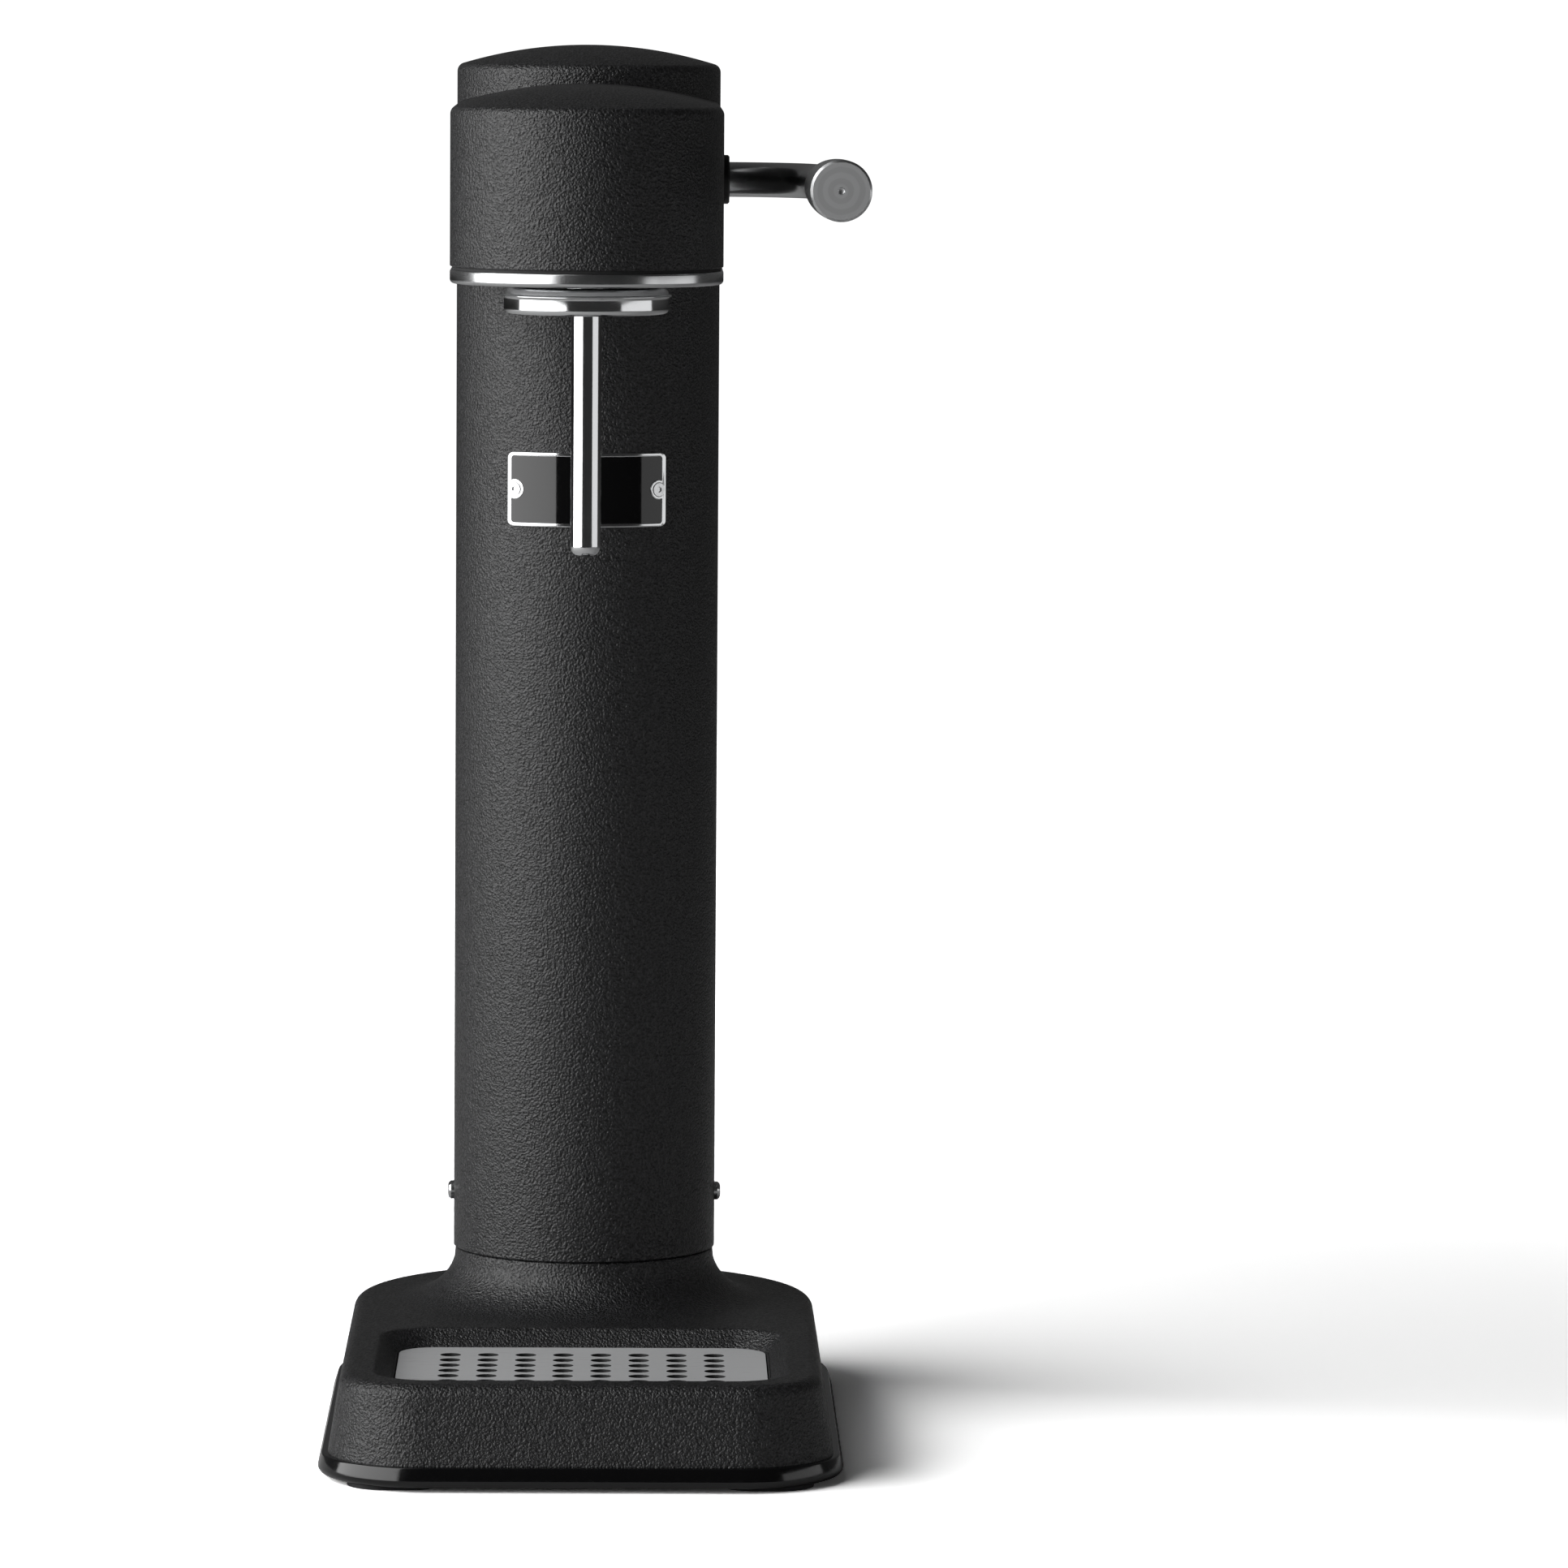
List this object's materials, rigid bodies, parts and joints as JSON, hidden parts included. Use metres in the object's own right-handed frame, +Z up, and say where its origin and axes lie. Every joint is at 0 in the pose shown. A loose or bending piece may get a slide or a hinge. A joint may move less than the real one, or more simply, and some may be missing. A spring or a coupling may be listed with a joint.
{
  "type": "soda carbonator",
  "caption": "Countertop manual soda carbonator: round column on a drip-tray base, forward head with nozzle and bottle holder, and a side lever that opens the gas valve.",
  "frame": {"origin": "the column's axis at the plane the feet rest on", "axes": "+Z up along the column, -Y towards the user and the head, +X towards the side with the lever"},
  "size_m": [0.1592, 0.258, 0.414],
  "materials": {
    "powder_black": "matte textured powder coat",
    "polished_steel": "mirror polished stainless steel",
    "turned_steel": "turned stainless steel",
    "grille_steel": "polished perforated stainless steel",
    "gloss_black": "gloss black moulding",
    "black_plastic": "matte black moulding",
    "black_rubber": "matte rubber",
    "white_plastic": "acetal bush",
    "brass": "machined brass",
    "screw_steel": "bright screw steel",
    "sheet_steel": "plain sheet steel",
    "cylinder_aluminium": "satin aluminium"
  },
  "bodies": {
    "machine": {"column_tube": "powder_black", "head_cover": "powder_black", "head_gasket": "black_rubber", "head_underplate": "polished_steel", "underplate_screws": "screw_steel", "bottle_holder": "polished_steel", "bottle_seal": "black_rubber", "holder_hub": "polished_steel", "nozzle_tube": "polished_steel", "nozzle_jet": "turned_steel", "nozzle_block": "brass", "head_strip": "sheet_steel", "strip_screws": "screw_steel", "relief_body": "brass", "relief_spring": "screw_steel", "relief_cap": "brass", "gas_hose": "black_plastic", "hose_nipples": "brass", "hose_clips": "screw_steel", "liner_tube": "black_plastic", "top_plate": "sheet_steel", "valve_block": "brass", "block_screws": "screw_steel", "seat_nut": "brass", "seat_gasket": "black_rubber", "plunger_spring": "screw_steel", "cam_bracket": "sheet_steel", "bracket_bushes": "white_plastic", "lever_collar": "black_plastic", "name_plate_frame": "polished_steel", "name_plate_face": "gloss_black", "name_plate_screws": "screw_steel", "side_screws": "screw_steel", "base_shell": "powder_black", "base_plate": "gloss_black", "plate_screws": "screw_steel", "feet": "black_rubber", "cylinder_guide": "black_plastic"},
    "lever": {"lever_rod": "polished_steel", "lever_grip": "turned_steel", "lever_cam": "turned_steel", "cam_pin": "turned_steel", "lever_circlip": "screw_steel"},
    "plunger": {"plunger": "turned_steel"},
    "valve_pin": {"valve_pin": "turned_steel"},
    "relief_poppet": {"relief_poppet": "black_rubber"},
    "gas_cylinder": {"gas_cylinder": "cylinder_aluminium", "cylinder_valve": "brass"},
    "drip_pan": {"drip_pan": "black_plastic"},
    "drip_grille": {"drip_grille": "grille_steel"}
  },
  "joints": [
    {"name": "lever_press", "type": "hinge", "parent": "machine", "child": "lever", "pos_m": [0, 0, 0.3734], "axis": [1, 0, 0], "range_deg": [0, 38], "stiffness_Nm_per_rad": 1.2, "springref_deg": -40.11},
    {"name": "plunger_slide", "type": "slide", "parent": "machine", "child": "plunger", "axis": [0, 0, -1], "range_m": [0, 0.0022], "deforming": ["plunger_spring"]},
    {"name": "valve_pin_slide", "type": "slide", "parent": "gas_cylinder", "child": "valve_pin", "axis": [0, 0, -1], "range_m": [0, 0.0022]},
    {"name": "relief_lift", "type": "slide", "parent": "machine", "child": "relief_poppet", "axis": [0, 0, 1], "range_m": [0, 0.0012], "stiffness_N_per_m": 800, "springref_m": -0.002, "deforming": ["relief_spring"]},
    {"name": "cylinder_swap", "type": "slide", "parent": "machine", "child": "gas_cylinder", "axis": [0, 0, -1], "range_m": [0, 0.35]},
    {"name": "pan_lift", "type": "slide", "parent": "machine", "child": "drip_pan", "axis": [0, 0, 1], "range_m": [0, 0.06]},
    {"name": "grille_lift", "type": "slide", "parent": "drip_pan", "child": "drip_grille", "axis": [0, 0, 1], "range_m": [0, 0.06]}
  ],
  "couplings": [
    {"joint": "plunger_slide", "follows": "lever_press", "m_per_rad": 0.0032},
    {"joint": "valve_pin_slide", "follows": "lever_press", "m_per_rad": 0.0032}
  ]
}
